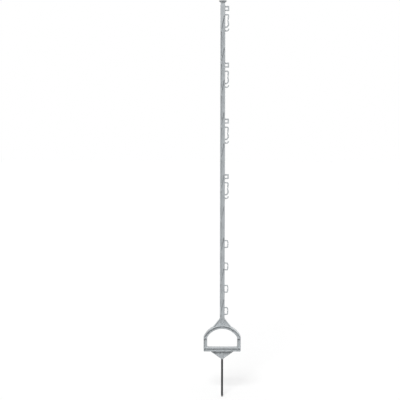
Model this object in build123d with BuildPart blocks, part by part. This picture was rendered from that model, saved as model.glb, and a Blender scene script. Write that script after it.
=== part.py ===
from build123d import *
import os
from math import cos, radians, sin, sqrt

# A step-in fence post: one moulded plastic post, with a stirrup to tread on
# and eyelets for wire, rope and tape, and a steel spike held in its foot.
# Lengths are in millimetres. The post stands on the tip of its spike, +Z up.
# The stirrup lies in the XZ plane, and every eyelet stands out towards +X.

# Spike
spike_diameter = 8.0
spike_exposed = 152.5
spike_held = 35.0
spike_tang_diameter = 7.4
spike_point_length = 7.0
spike_point_diameter = 4.6
spike_point_round = 1.5
spike_top_chamfer = 0.6
socket_clearance = 0.05

# Stirrup: a frame with shallow recesses in its front and back, between flanges and ribs
opening_width = 118.0
opening_height = 76.5
column_width = 14.3
column_height = 42.2
arch_thickness = 12.4
bar_height = 14.0
stirrup_depth = 30.0
stirrup_flange = 2.2
stirrup_tread = 1.6
stirrup_web = 16.0
stirrup_rib = 2.4
arch_rib_angle = 31.0
bar_rib_spacing = 74.0
corner_rib = 3.2
corner_rib_drop = 3.1
stirrup_outer_corner = 3.0
stirrup_inner_corner = 3.5
stirrup_arch_bend = 16.0
stirrup_edge_round = 0.8

# Lower gusset, and the socket in it that holds the spike
gusset_height = 33.0
gusset_width = 98.0
gusset_depth = 10.0
gusset_plate = 4.0
gusset_rim = 4.5
gusset_foot_rise = 1.5
gusset_foot_clearance = 0.2
gusset_edge_round = 2.8
socket_mouth_wall = 1.8
socket_root_wall = 2.8
socket_roof = 3.5
socket_top_round = 2.0

# Wings that spread the shaft onto the arch
wing_height = 27.0
wing_width = 77.0
wing_depth = 10.0
wing_plate = 4.0
wing_rim = 3.2
wing_corner_round = 7.0
wing_edge_round = 1.2

# Shaft: two flanges, a web, and a zigzag rib on each face, widened where it meets a flange
shaft_width = 18.9
shaft_depth = 16.0
shaft_flange = 3.2
shaft_web = 4.0
shaft_edge_round = 0.8
shaft_rib = 2.5
rib_pitch = 61.1
rib_foot_length = 28.0
rib_foot_width = 1.6
plain_top_length = 24.1

# Head: a shoulder, a neck and a round disc to hammer or push on
shoulder_height = 6.9
neck_width = 16.0
neck_depth = 14.5
neck_corner = 3.0
neck_height = 4.0
head_diameter = 29.7
head_underside_drop = 5.5
head_rim_height = 3.1
head_dome_rise = 0.9
head_rim_round = 1.0

# Eyelets: groups of a square eye, a tape slot and a hook, then small loops
eyelet_depth = 5.0
eyelet_edge_round = 0.6
eyelet_bury = 1.5
square_eye_bar = 5.0
square_eye_top_bar = 6.2
square_eye_reach = 14.9
square_eye_height = 19.5
square_eye_corner = 0.8
tape_slot_bar = 5.2
tape_slot_reach = 14.8
tape_slot_height = 52.2
tape_slot_waist = 1.3
tape_slot_waist_length = 12.0
tape_slot_waist_ramp = 6.0
tape_slot_heel_rise = 7.6
tape_slot_heel_inset = 5.7
tape_slot_slit_drop = 23.0
tape_slot_bends = [4.0, 8.0, 8.0, 8.0, 8.0, 4.0, 3.0]
small_loop_bar = 4.5
small_loop_reach = 15.2
small_loop_height = 31.3
small_loop_lean = 2.3
small_loop_bend = 2.8
small_loop_slit_drop = 13.5
hook_bar = 4.3
hook_reach = 14.9
hook_radius = 7.0
hook_tip_angle = 15.0
hook_tip_round = 1.2
hook_root_drop = 3.0
slit_gap = 1.1
slit_length = 14.0
tape_slot_slit_angle = 30.0
small_loop_slit_angle = 48.0

# Spaces along the post, from the foot up
wing_to_loops = 13.55
small_loop_count = 4
small_loop_pitch = 88.5
loops_to_groups = 161.1
hook_mouth = 4.9
eye_to_slot = 11.5
group_count = 4
group_pitch = 215.0
eye_to_shoulder = 0.5

# Heights above the tip of the spike
socket_mouth_z = spike_exposed
spike_top_z = spike_exposed + spike_held
bar_bottom_z = socket_mouth_z + gusset_height
bar_top_z = bar_bottom_z + bar_height
arch_corner_z = bar_top_z + column_height
opening_crown_z = bar_top_z + opening_height
arch_crown_z = opening_crown_z + arch_thickness
wing_top_z = arch_crown_z + wing_height
first_loop_z = wing_top_z + wing_to_loops + small_loop_height
last_loop_z = first_loop_z + (small_loop_count - 1) * small_loop_pitch
group_height = square_eye_height + eye_to_slot + tape_slot_height + hook_mouth + hook_radius + hook_bar / 2
first_group_z = last_loop_z + loops_to_groups + group_height
last_group_z = first_group_z + (group_count - 1) * group_pitch
shoulder_bottom_z = last_group_z + eye_to_shoulder
shoulder_top_z = shoulder_bottom_z + shoulder_height
neck_top_z = shoulder_top_z + neck_height
rim_bottom_z = neck_top_z + head_underside_drop
rim_top_z = rim_bottom_z + head_rim_height
head_top_z = rim_top_z + head_dome_rise
recess_top_z = shoulder_bottom_z - plain_top_length

# Half widths, and the circles that the arch follows
shaft_side = shaft_width / 2
recess_side = shaft_side - shaft_flange
opening_side = opening_width / 2
stirrup_side = opening_side + column_width
opening_rise = opening_crown_z - arch_corner_z
arch_rise = arch_crown_z - arch_corner_z
opening_radius = (opening_side**2 + opening_rise**2) / (2 * opening_rise)
arch_radius = (stirrup_side**2 + arch_rise**2) / (2 * arch_rise)
opening_centre_z = opening_crown_z - opening_radius
arch_centre_z = arch_crown_z - arch_radius
spike_tang_radius = spike_tang_diameter / 2
socket_radius = spike_tang_radius + socket_clearance
socket_top_z = spike_top_z + socket_roof


def arched_face(side, bottom, radius, centre_z, mode=Mode.ADD):
    """A flat bottom, two upright sides, and an arc over them."""
    corner = centre_z + sqrt(radius**2 - side**2)
    with BuildLine() as outline:
        Polyline((-side, corner), (-side, bottom), (side, bottom), (side, corner))
        ThreePointArc((side, corner), (0, centre_z + radius), (-side, corner))
    make_face(outline.edges(), mode=mode)


def stirrup_face(inset=0.0, mode=Mode.ADD):
    """The stirrup's outer shape, drawn inset from its edge."""
    arched_face(stirrup_side - inset, bar_bottom_z + inset, arch_radius - inset, arch_centre_z, mode)


def opening_face(outset=0.0, sill=0.0, mode=Mode.ADD):
    """The opening for the foot, drawn larger by outset at its sides and arch and by sill at its foot."""
    arched_face(opening_side + outset, bar_top_z - sill, opening_radius + outset, opening_centre_z, mode)


def closed_face(points, mode=Mode.ADD):
    """A face with straight edges."""
    with BuildLine() as outline:
        Polyline(*points, close=True)
    make_face(outline.edges(), mode=mode)


def rib_face(start, end, width, mode=Mode.ADD):
    """A straight rib, seen from the front."""
    with BuildLine() as path:
        Line(start, end)
    trace(path.line, width, mode=mode)


def level_with(vertices, height):
    """The vertices of a drawing in the XZ plane that lie at one height."""
    return vertices.filter_by_position(Axis.Y, height - 0.01, height + 0.01)


def slanted(edge):
    """Whether an edge runs neither level nor upright."""
    along = edge.tangent_at(0.5)
    return abs(along.X) > 0.1 and abs(along.Z) > 0.1


def front_and_back(shape, depth):
    """The edges of a flat shape that run along its front and back faces."""
    front = shape.edges().filter_by_position(Axis.Y, -depth / 2, -depth / 2)
    back = shape.edges().filter_by_position(Axis.Y, depth / 2, depth / 2)
    return front + back


# Steel spike: a round rod with a blunt point, turned down where the foot holds it
with BuildPart() as steel_spike:
    with BuildSketch(Plane.XZ):
        with BuildLine():
            Polyline(
                (0, 0),
                (spike_point_diameter / 2, 0),
                (spike_diameter / 2, spike_point_length),
                (spike_diameter / 2, socket_mouth_z),
                (spike_tang_radius, socket_mouth_z),
                (spike_tang_radius, spike_top_z - spike_top_chamfer),
                (spike_tang_radius - spike_top_chamfer, spike_top_z),
                (0, spike_top_z),
                close=True,
            )
        make_face()
    revolve(axis=Axis.Z)
    fillet(steel_spike.edges().group_by(Axis.Z)[0], spike_point_round)

# Ribs across the stirrup's recess on one side: start, end and width
bar_rib_x = bar_rib_spacing / 2
upright_x = opening_side + stirrup_flange / 2
tread_z = bar_top_z - stirrup_tread / 2
corner_rib_z = arch_corner_z - corner_rib_drop
rib_lean_x = sin(radians(arch_rib_angle))
rib_lean_z = cos(radians(arch_rib_angle))
arch_rib_start = (rib_lean_x * opening_radius, opening_centre_z + rib_lean_z * opening_radius)
arch_rib_end = (rib_lean_x * arch_radius, arch_centre_z + rib_lean_z * arch_radius)
stirrup_ribs = [
    ((upright_x, bar_bottom_z), (upright_x, bar_top_z), stirrup_flange),
    ((opening_side, tread_z), (stirrup_side, tread_z), stirrup_tread),
    ((opening_side, corner_rib_z), (stirrup_side, corner_rib_z), corner_rib),
    ((bar_rib_x, bar_bottom_z), (bar_rib_x, bar_top_z), stirrup_rib),
    (arch_rib_start, arch_rib_end, stirrup_rib),
]

# Stirrup frame: flanges and ribs at full depth, joined by the web
with BuildPart() as stirrup:
    with BuildSketch(Plane.XZ) as stirrup_outline:
        stirrup_face()
        foot_corners = stirrup_outline.vertices().group_by(Axis.Y)[0]
        fillet(foot_corners, stirrup_outer_corner)
        opening_face(mode=Mode.SUBTRACT)
        fillet(level_with(stirrup_outline.vertices(), arch_corner_z), stirrup_arch_bend)
    extrude(amount=stirrup_depth / 2, both=True)
    tread_corners = (
        stirrup.edges().filter_by(Axis.Y).filter_by_position(Axis.Z, bar_top_z - 0.1, bar_top_z + 0.1)
    )
    fillet(tread_corners, stirrup_inner_corner)
    fillet(front_and_back(stirrup, stirrup_depth), stirrup_edge_round)
    for face_side in (1, -1):
        with BuildSketch(Plane.XZ.offset(face_side * stirrup_web / 2)):
            stirrup_face(inset=stirrup_flange)
            opening_face(stirrup_flange, stirrup_tread, Mode.SUBTRACT)
            rib_face((0, opening_crown_z), (0, arch_crown_z), stirrup_rib, Mode.SUBTRACT)
            for side in (1, -1):
                for start, end, width in stirrup_ribs:
                    rib_face((side * start[0], start[1]), (side * end[0], end[1]), width, Mode.SUBTRACT)
        extrude(amount=face_side * stirrup_depth, mode=Mode.SUBTRACT)

# Lower gusset: a plate with a rounded rim along both slanted edges
gusset_side = gusset_width / 2
gusset_foot_side = socket_radius + socket_mouth_wall / 2
gusset_foot_z = socket_mouth_z + gusset_foot_rise
gusset_top_z = bar_bottom_z + stirrup_flange / 2
gusset_slope = (bar_bottom_z - gusset_foot_z) / (gusset_side - gusset_foot_side)
gusset_start_side = gusset_edge_round * sqrt(1 + 1 / gusset_slope**2) + gusset_foot_clearance
gusset_start_z = gusset_foot_z + gusset_slope * (gusset_start_side - gusset_foot_side)
gusset_top_side = gusset_foot_side + (gusset_top_z - gusset_foot_z) / gusset_slope
gusset_hollow_z = gusset_foot_z - gusset_slope * gusset_foot_side + gusset_rim * sqrt(1 + gusset_slope**2)
gusset_hollow_side = (gusset_top_z - gusset_hollow_z) / gusset_slope
with BuildPart() as gusset:
    with BuildSketch(Plane.XZ):
        closed_face(
            [
                (-gusset_start_side, gusset_start_z),
                (gusset_start_side, gusset_start_z),
                (gusset_top_side, gusset_top_z),
                (-gusset_top_side, gusset_top_z),
            ]
        )
    extrude(amount=gusset_depth / 2, both=True)
    fillet(front_and_back(gusset, gusset_depth).filter_by(slanted), gusset_edge_round)
    for face_side in (1, -1):
        with BuildSketch(Plane.XZ.offset(face_side * gusset_plate / 2)):
            closed_face(
                [
                    (0, gusset_hollow_z),
                    (gusset_hollow_side, gusset_top_z),
                    (-gusset_hollow_side, gusset_top_z),
                ]
            )
        extrude(amount=face_side * gusset_depth, mode=Mode.SUBTRACT)

# Socket: a tapered boss from the gusset's foot up into the stirrup's bar
with BuildPart() as socket:
    with BuildSketch(Plane.XZ):
        closed_face(
            [
                (0, socket_mouth_z),
                (socket_radius + socket_mouth_wall, socket_mouth_z),
                (socket_radius + socket_root_wall, socket_top_z),
                (0, socket_top_z),
            ]
        )
    revolve(axis=Axis.Z)
    fillet(socket.edges().group_by(Axis.Z)[-1], socket_top_round)

# Wings: one each side of the shaft's foot, with a rim along the slanted edge
wing_side = wing_width / 2
wing_root = shaft_side - shaft_flange / 2
wing_end_z = wing_top_z + wing_corner_round
wing_foot_z = arch_centre_z + sqrt(arch_radius**2 - wing_side**2)
wing_low_z = wing_foot_z - arch_thickness / 2
wing_slope = (wing_top_z - wing_foot_z) / (wing_side - shaft_side)
wing_hollow_z = wing_top_z - wing_rim * sqrt(1 + wing_slope**2)
wing_hollow_side = shaft_side + (wing_hollow_z - wing_low_z) / wing_slope
with BuildPart() as wings:
    with BuildSketch(Plane.XZ) as wing_outline:
        for side in (1, -1):
            closed_face(
                [
                    (side * wing_root, wing_end_z),
                    (side * shaft_side, wing_end_z),
                    (side * shaft_side, wing_top_z),
                    (side * wing_side, wing_foot_z),
                    (side * wing_side, wing_low_z),
                    (side * wing_root, wing_low_z),
                ]
            )
        fillet(level_with(wing_outline.vertices(), wing_top_z), wing_corner_round)
        stirrup_face(inset=stirrup_flange / 2, mode=Mode.SUBTRACT)
    extrude(amount=wing_depth / 2, both=True)
    wing_edges = front_and_back(wings, wing_depth).filter_by(slanted)
    fillet(wing_edges.filter_by_position(Axis.Z, arch_crown_z, wing_end_z), wing_edge_round)
    for face_side in (1, -1):
        with BuildSketch(Plane.XZ.offset(face_side * wing_plate / 2)):
            for side in (1, -1):
                closed_face(
                    [
                        (side * shaft_side, wing_hollow_z),
                        (side * wing_hollow_side, wing_low_z),
                        (side * shaft_side, wing_low_z),
                    ]
                )
        extrude(amount=face_side * wing_depth, mode=Mode.SUBTRACT)

# Shaft: the recess on each face is crossed by ribs that run from side to side, and its top slopes like them
shaft_foot_z = arch_crown_z - stirrup_flange / 2
rib_corners = []
corner_z = recess_top_z
corner_x = recess_side
while corner_z > shaft_foot_z - rib_pitch:
    rib_corners.append((corner_x, corner_z))
    corner_x = -corner_x
    corner_z -= rib_pitch
with BuildPart() as shaft:
    with BuildSketch(Plane.XY.offset(shaft_foot_z)):
        RectangleRounded(shaft_width, shaft_depth, shaft_edge_round)
    extrude(amount=shoulder_bottom_z - shaft_foot_z)
    for face_side in (1, -1):
        with BuildSketch(Plane.XZ.offset(face_side * shaft_web / 2)):
            closed_face(
                [
                    (-recess_side, shaft_foot_z),
                    (recess_side, shaft_foot_z),
                    (recess_side, recess_top_z),
                    (-recess_side, recess_top_z - rib_pitch),
                ]
            )
            for start, end in zip(rib_corners, rib_corners[1:]):
                rib_face(start, end, shaft_rib, Mode.SUBTRACT)
            with Locations(rib_corners):
                Rectangle(2 * rib_foot_width, rib_foot_length, mode=Mode.SUBTRACT)
        extrude(amount=face_side * shaft_depth, mode=Mode.SUBTRACT)

# Head: shoulder and neck, then a disc with a slightly domed top
head_radius = head_diameter / 2
with BuildPart() as head:
    with BuildSketch(Plane.XY.offset(shoulder_bottom_z)):
        RectangleRounded(shaft_width, shaft_depth, shaft_edge_round)
    with BuildSketch(Plane.XY.offset(shoulder_top_z)):
        RectangleRounded(neck_width, neck_depth, neck_corner)
    loft()
    with BuildSketch(Plane.XY.offset(shoulder_top_z)):
        RectangleRounded(neck_width, neck_depth, neck_corner)
    extrude(amount=rim_bottom_z - shoulder_top_z)
    with BuildSketch(Plane.XZ):
        with BuildLine():
            TangentArc((0, head_top_z), (head_radius, rim_top_z), tangent=(1, 0))
            Polyline(
                (head_radius, rim_top_z),
                (head_radius, rim_bottom_z),
                (neck_width / 2, neck_top_z),
                (0, neck_top_z),
                (0, head_top_z),
            )
        make_face()
    revolve(axis=Axis.Z)
    rim_edges = head.edges().filter_by(GeomType.CIRCLE).filter_by(
        lambda edge: abs(edge.radius - head_radius) < 0.01
    )
    fillet(rim_edges, head_rim_round)

# Eyelets, each drawn with its top edge at the origin and the shaft at x = 0


def round_edges(eyelet):
    """Round the long edges of an eyelet that is still being built."""
    fillet(front_and_back(eyelet, eyelet_depth), eyelet_edge_round)


def cut_slit(x, z, angle):
    """A narrow slanted slit through a bar, to press wire or tape in."""
    with BuildSketch(Plane.XZ) as slit:
        with Locations((x, z)):
            Rectangle(slit_gap, slit_length, rotation=angle)
    extrude(slit.sketch, amount=eyelet_depth, both=True, mode=Mode.SUBTRACT)


with BuildPart() as square_eye:
    with BuildSketch(Plane.XZ) as eye_outline:
        closed_face(
            [
                (-eyelet_bury, 0),
                (square_eye_reach, 0),
                (square_eye_reach, -square_eye_height),
                (-eyelet_bury, -square_eye_height),
            ]
        )
        fillet(eye_outline.vertices().group_by(Axis.X)[-1], square_eye_corner)
        closed_face(
            [
                (-eyelet_bury, -square_eye_top_bar),
                (square_eye_reach - square_eye_bar, -square_eye_top_bar),
                (square_eye_reach - square_eye_bar, square_eye_bar - square_eye_height),
                (-eyelet_bury, square_eye_bar - square_eye_height),
            ],
            mode=Mode.SUBTRACT,
        )
    extrude(amount=eyelet_depth / 2, both=True)
    round_edges(square_eye)

slot_centre_x = tape_slot_reach - tape_slot_bar / 2
slot_waist_x = slot_centre_x - tape_slot_waist
slot_low_z = tape_slot_bar / 2 - tape_slot_height
waist_half = tape_slot_waist_length / 2
ramp_half = waist_half + tape_slot_waist_ramp
with BuildPart() as tape_slot:
    with BuildSketch(Plane.XZ):
        with BuildLine() as slot_path:
            FilletPolyline(
                (-eyelet_bury, -tape_slot_bar / 2),
                (slot_centre_x, -tape_slot_bar / 2),
                (slot_centre_x, ramp_half - tape_slot_slit_drop),
                (slot_waist_x, waist_half - tape_slot_slit_drop),
                (slot_waist_x, -waist_half - tape_slot_slit_drop),
                (slot_centre_x, -ramp_half - tape_slot_slit_drop),
                (slot_centre_x, slot_low_z + tape_slot_heel_rise),
                (slot_centre_x - tape_slot_heel_inset, slot_low_z),
                (-eyelet_bury, slot_low_z),
                radius=tape_slot_bends,
            )
        trace(slot_path.line, tape_slot_bar)
    extrude(amount=eyelet_depth / 2, both=True)
    round_edges(tape_slot)
    cut_slit(slot_waist_x, -tape_slot_slit_drop, tape_slot_slit_angle)

loop_centre_x = small_loop_reach - small_loop_bar / 2
loop_corner_x = loop_centre_x - small_loop_lean
loop_low_z = small_loop_bar / 2 - small_loop_height
with BuildPart() as small_loop:
    with BuildSketch(Plane.XZ):
        with BuildLine() as loop_path:
            FilletPolyline(
                (-eyelet_bury, -small_loop_bar / 2),
                (loop_corner_x, -small_loop_bar / 2),
                (loop_centre_x, -small_loop_slit_drop),
                (loop_corner_x, loop_low_z),
                (-eyelet_bury, loop_low_z),
                radius=small_loop_bend,
            )
        trace(loop_path.line, small_loop_bar)
    extrude(amount=eyelet_depth / 2, both=True)
    round_edges(small_loop)
    cut_slit(loop_centre_x, -small_loop_slit_drop, small_loop_slit_angle)

hook_inner = hook_radius - hook_bar / 2
hook_outer = hook_radius + hook_bar / 2
hook_x = hook_reach - hook_outer
with BuildPart() as hook:
    with BuildSketch(Plane.XZ) as hook_outline:
        with BuildLine() as hook_path:
            CenterArc((hook_x, 0), hook_radius, -90, 90 + hook_tip_angle)
        trace(hook_path.line, hook_bar)
        fillet(hook_outline.vertices().sort_by(Axis.Y)[-2:], hook_tip_round)
        closed_face(
            [
                (-eyelet_bury, -hook_outer),
                (hook_x, -hook_outer),
                (hook_x, -hook_root_drop),
                (-eyelet_bury, -hook_root_drop),
            ]
        )
        with Locations((hook_x, 0)):
            Circle(hook_inner, mode=Mode.SUBTRACT)
    extrude(amount=eyelet_depth / 2, both=True)
    round_edges(hook)

# Where each kind of eyelet has its origin on the post
slot_drop = square_eye_height + eye_to_slot
hook_drop = slot_drop + tape_slot_height + hook_mouth
group_heights = [first_group_z + index * group_pitch for index in range(group_count)]
loop_heights = [first_loop_z + index * small_loop_pitch for index in range(small_loop_count)]
eyelets = [
    (square_eye, group_heights),
    (tape_slot, [height - slot_drop for height in group_heights]),
    (hook, [height - hook_drop for height in group_heights]),
    (small_loop, loop_heights),
]

# The moulded post is one piece, with a blind bore for the spike in its foot
with BuildPart() as moulded_post:
    add(shaft.part)
    for eyelet, heights in eyelets:
        with Locations([(shaft_side, 0, height) for height in heights]):
            add(eyelet.part)
    add([head.part, stirrup.part, gusset.part, socket.part, wings.part])
    with BuildSketch(Plane.XY.offset(socket_mouth_z)):
        Circle(socket_radius)
    extrude(amount=spike_held, mode=Mode.SUBTRACT)

steel_spike.part.label = "steel_spike"
moulded_post.part.label = "moulded_post"
os.makedirs("parts", exist_ok=True)
export_step(steel_spike.part, "parts/steel_spike.step")
export_step(moulded_post.part, "parts/moulded_post.step")
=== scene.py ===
import math
from collections import namedtuple

import bmesh
import bpy
from bpy.props import FloatProperty, FloatVectorProperty, IntProperty, PointerProperty
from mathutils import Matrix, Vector
from mathutils.geometry import tessellate_polygon


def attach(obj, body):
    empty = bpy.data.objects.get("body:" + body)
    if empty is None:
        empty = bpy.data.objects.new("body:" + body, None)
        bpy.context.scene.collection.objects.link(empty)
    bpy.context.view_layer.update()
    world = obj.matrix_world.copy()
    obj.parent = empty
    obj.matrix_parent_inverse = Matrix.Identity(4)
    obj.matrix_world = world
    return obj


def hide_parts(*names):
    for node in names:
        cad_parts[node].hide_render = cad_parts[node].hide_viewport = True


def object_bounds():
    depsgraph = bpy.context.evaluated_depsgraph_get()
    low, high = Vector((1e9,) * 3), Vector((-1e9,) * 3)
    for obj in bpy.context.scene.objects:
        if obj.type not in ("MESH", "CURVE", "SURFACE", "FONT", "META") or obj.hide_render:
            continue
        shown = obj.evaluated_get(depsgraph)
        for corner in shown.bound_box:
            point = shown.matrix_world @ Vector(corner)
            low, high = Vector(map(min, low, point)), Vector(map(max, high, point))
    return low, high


bl_info = {
    "name": "Step-in fence post",
    "version": (1, 0, 0),
    "blender": (4, 5, 0),
    "location": "View3D > Sidebar > Fence post",
    "description": "Builds a moulded fence post with a steel spike, piece by piece",
    "category": "Add Mesh",
}

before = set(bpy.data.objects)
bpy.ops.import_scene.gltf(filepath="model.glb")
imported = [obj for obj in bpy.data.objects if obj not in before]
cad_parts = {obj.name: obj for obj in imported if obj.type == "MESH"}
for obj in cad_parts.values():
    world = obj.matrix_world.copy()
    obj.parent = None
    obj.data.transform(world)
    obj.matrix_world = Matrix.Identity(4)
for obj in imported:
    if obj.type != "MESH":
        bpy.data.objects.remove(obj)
cad_low, cad_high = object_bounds()
BODY = "root"

# What every moulded surface has in common
MM = 0.001
SEAM_HEIGHT = 0.12 * MM
SEAM_HALF = 0.22 * MM
DRAFT = math.tan(math.radians(0.6))

# How far a piece reaches into the flat side that it stands on
OVERLAP = 0.35 * MM

# A rim draws in by its radius and this much more, and a tight bend gives way by a share of its radius
RIM_INSET = 0.25 * MM
BEND_GIVE = 0.8

# Shading: a narrow strip keeps a flat face flat beside a rounded edge, and breaks come at sharp turns
SUPPORT = 0.12 * MM
SHARP_ANGLE = math.radians(38)

# How finely curves are divided, and the turn under which an outline counts as straight
EDGE_STEPS = 4
BEND_STEPS = 6
ROUND_STEPS = 64
PATH_TURN = math.radians(12)
STRAIGHT = 1e-4

# The edge that starts at a held corner or point stays in place when its outline is shifted
Corner = namedtuple("Corner", "x z bend held", defaults=(0.0, False))
Point = namedtuple("Point", "x z held give", defaults=(False, 1.0))

# A circle round a point straight above the origin
Circle = namedtuple("Circle", "radius middle")


def length(name, description, default):
    """A property that holds a length."""
    return FloatProperty(
        name=name, description=description, default=default, min=0.0, unit="LENGTH", precision=4
    )


def angle(name, description, degrees):
    """A property that holds an angle."""
    return FloatProperty(name=name, description=description, default=math.radians(degrees), unit="ROTATION")


def count(name, description, default):
    """A property that holds a whole number."""
    return IntProperty(name=name, description=description, default=default, min=1)


def share(name, description, default, soft_max=1.0):
    """A property that holds a plain number from nought up."""
    return FloatProperty(name=name, description=description, default=default, min=0.0, soft_max=soft_max)


def colour(name, description, default):
    """A property that holds a linear colour."""
    return FloatVectorProperty(
        name=name, description=description, default=default, size=3, subtype="COLOR", min=0.0, max=1.0
    )


class FencePostHeights(bpy.types.PropertyGroup):
    """Heights above the tip of the spike"""

    spike_mouth: length("Spike mouth", "Where the spike goes into the moulding", 0.1525)
    bar_bottom: length("Bar bottom", "Underside of the stirrup's bar", 0.1855)
    bar_top: length("Bar top", "Face that the boot treads on", 0.1995)
    corner_rib: length("Corner rib", "Middle of the level rib at the top of each side", 0.2386)
    arch_corner: length("Arch corner", "Where the stirrup's sides turn into the arch", 0.2417)
    opening_crown: length("Opening crown", "Top of the opening for the boot", 0.276)
    arch_crown: length("Arch crown", "Top of the stirrup's arch", 0.2884)
    wing_top: length("Wing top", "Where the wings leave the shaft", 0.3154)
    first_loop: length("First small loop", "Top edge of the lowest small loop", 0.36025)
    loop_pitch: length("Loop pitch", "From one small loop to the next", 0.0885)
    first_group: length("First group", "Top edge of the lowest group of eyelets", 0.8841)
    group_pitch: length("Group pitch", "From one group of eyelets to the next", 0.215)
    recess_top: length("Recess top", "Where the zigzag rib starts", 1.5055)
    shoulder_bottom: length("Shoulder bottom", "Where the shaft starts to narrow", 1.5296)
    shoulder_top: length("Shoulder top", "Where the neck starts", 1.5365)
    neck_top: length("Neck top", "Where the neck meets the disc", 1.5405)
    rim_bottom: length("Rim bottom", "Lower edge of the disc's rim", 1.546)
    rim_top: length("Rim top", "Upper edge of the disc's rim", 1.5491)


class FencePostShaft(bpy.types.PropertyGroup):
    """Shaft and head"""

    width: length("Width", "Across both flanges", 0.0189)
    depth: length("Depth", "From front to back", 0.016)
    flange: length("Flange", "Thickness of the flange on each side", 0.0032)
    web: length("Web", "Thickness of the wall between front and back hollows", 0.004)
    rib: length("Rib", "Thickness of the zigzag rib", 0.0025)
    rib_pitch: length("Rib pitch", "Height that one run of the zigzag climbs", 0.0611)
    foot_width: length("Rib foot width", "How far each foot stands out from the flange", 0.0016)
    edge_round: length("Edge round", "Radius along the flanges' outer edges", 0.0008)
    neck_width: length("Neck width", "Across the neck", 0.016)
    neck_depth: length("Neck depth", "Through the neck", 0.0145)
    neck_corner: length("Neck corner", "Radius of the neck's corners", 0.003)
    head_diameter: length("Disc diameter", "Across the disc on top", 0.0297)
    rim_round: length("Rim round", "Radius along the disc's edges", 0.001)


class FencePostEyelets(bpy.types.PropertyGroup):
    """Eyelets for wire, rope and tape"""

    group_count: count("Groups", "How many groups of three eyelets there are", 4)
    loop_count: count("Small loops", "How many small loops there are", 4)
    depth: length("Depth", "Thickness of every eyelet from front to back", 0.005)
    edge_round: length("Edge round", "Radius along the eyelets' edges", 0.0006)
    root_flare: length("Root flare", "Radius where an eyelet leaves the shaft", 0.0012)
    eye_bar: length("Square eye bar", "Width of the square eye's side and bottom bars", 0.005)
    eye_top_bar: length("Square eye top bar", "Width of its top bar", 0.0062)
    eye_reach: length("Square eye reach", "How far it stands out", 0.0149)
    eye_height: length("Square eye height", "Overall height", 0.0195)
    slot_bar: length("Tape slot bar", "Width of the tape slot's bar", 0.0052)
    slot_reach: length("Tape slot reach", "How far it stands out", 0.0148)
    slot_height: length("Tape slot height", "Overall height", 0.0522)
    slot_waist: length("Tape slot waist", "How far its middle draws in", 0.0013)
    waist_length: length("Waist length", "Height of the stretch that is drawn in", 0.012)
    waist_ramp: length("Waist ramp", "Height over which it draws in", 0.006)
    heel_rise: length("Heel rise", "Height of the slant at the tape slot's foot", 0.0076)
    heel_inset: length("Heel inset", "How far that slant leads in", 0.0057)
    slot_drop: length("Tape slot drop", "From the square eye's top edge to the slot's", 0.031)
    slit_drop: length("Slot slit drop", "From the slot's top edge to its slit", 0.023)
    slit_lean: angle("Slot slit lean", "How far the tape slot's slit leans from upright", 30.0)
    slit_gap: length("Slit gap", "Width of each slanted slit", 0.0011)
    hook_drop: length("Hook drop", "From the square eye's top edge to the hook's centre", 0.0881)
    hook_bar: length("Hook bar", "Width of the hook's bar", 0.0043)
    hook_radius: length("Hook radius", "Radius of the middle of the hook's bar", 0.007)
    hook_reach: length("Hook reach", "How far it stands out", 0.0149)
    hook_root: length("Hook root", "From the hook's centre down to the top of its root", 0.003)
    hook_tip: angle("Hook tip", "Where the hook ends, clockwise from straight up", 75.0)
    loop_bar: length("Small loop bar", "Width of the small loop's bar", 0.0045)
    loop_reach: length("Small loop reach", "How far it stands out", 0.0152)
    loop_height: length("Small loop height", "Overall height", 0.0313)
    loop_lean: length("Small loop lean", "How far its point stands out past its corners", 0.0023)
    loop_bend: length("Small loop bend", "Radius of its corners along the middle of the bar", 0.0028)
    loop_slit_drop: length("Loop slit drop", "From the small loop's top edge to its slit", 0.0135)
    loop_slit_lean: angle("Loop slit lean", "How far the small loop's slit leans from upright", 48.0)


class FencePostStirrup(bpy.types.PropertyGroup):
    """Stirrup, wings and gusset"""

    opening_width: length("Opening width", "Across the opening for the boot", 0.118)
    column_width: length("Column width", "Width of each side of the stirrup", 0.0143)
    depth: length("Depth", "From front to back", 0.030)
    outer_corner: length("Outer corner", "Radius of the lower outer corners", 0.003)
    inner_corner: length("Inner corner", "Radius of the opening's lower corners", 0.0035)
    flange: length("Flange", "Thickness of the flanges", 0.0022)
    tread: length("Tread", "Thickness of the flange that the boot treads on", 0.0016)
    web: length("Web", "Thickness of the wall between front and back recesses", 0.016)
    rib: length("Rib", "Thickness of the ribs across the recesses", 0.0024)
    corner_rib: length("Corner rib", "Thickness of the level rib at the top of each side", 0.0032)
    bar_rib: length("Bar rib place", "From the middle to each rib in the bar", 0.037)
    arch_rib: angle("Arch rib place", "From straight up to each rib across the arch", 31.0)
    edge_round: length("Edge round", "Radius along the flanges' edges", 0.0006)
    wing_width: length("Wing width", "Across both wings where they meet the arch", 0.077)
    wing_rim: length("Wing rim", "Width of the wings' rim", 0.0032)
    wing_corner: length("Wing corner", "Radius where the wings leave the shaft", 0.007)
    wing_round: length("Wing round", "Radius along the wings' edges", 0.0012)
    plate_depth: length("Plate depth", "From front to back of wings and gusset", 0.010)
    plate_web: length("Plate web", "Thickness of the wings and gusset in their hollows", 0.004)
    gusset_width: length("Gusset width", "Across the gusset under the bar", 0.098)
    gusset_rim: length("Gusset rim", "Width of the gusset's rim", 0.0045)
    gusset_round: length("Gusset round", "Radius along the gusset's edges", 0.0028)


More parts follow.
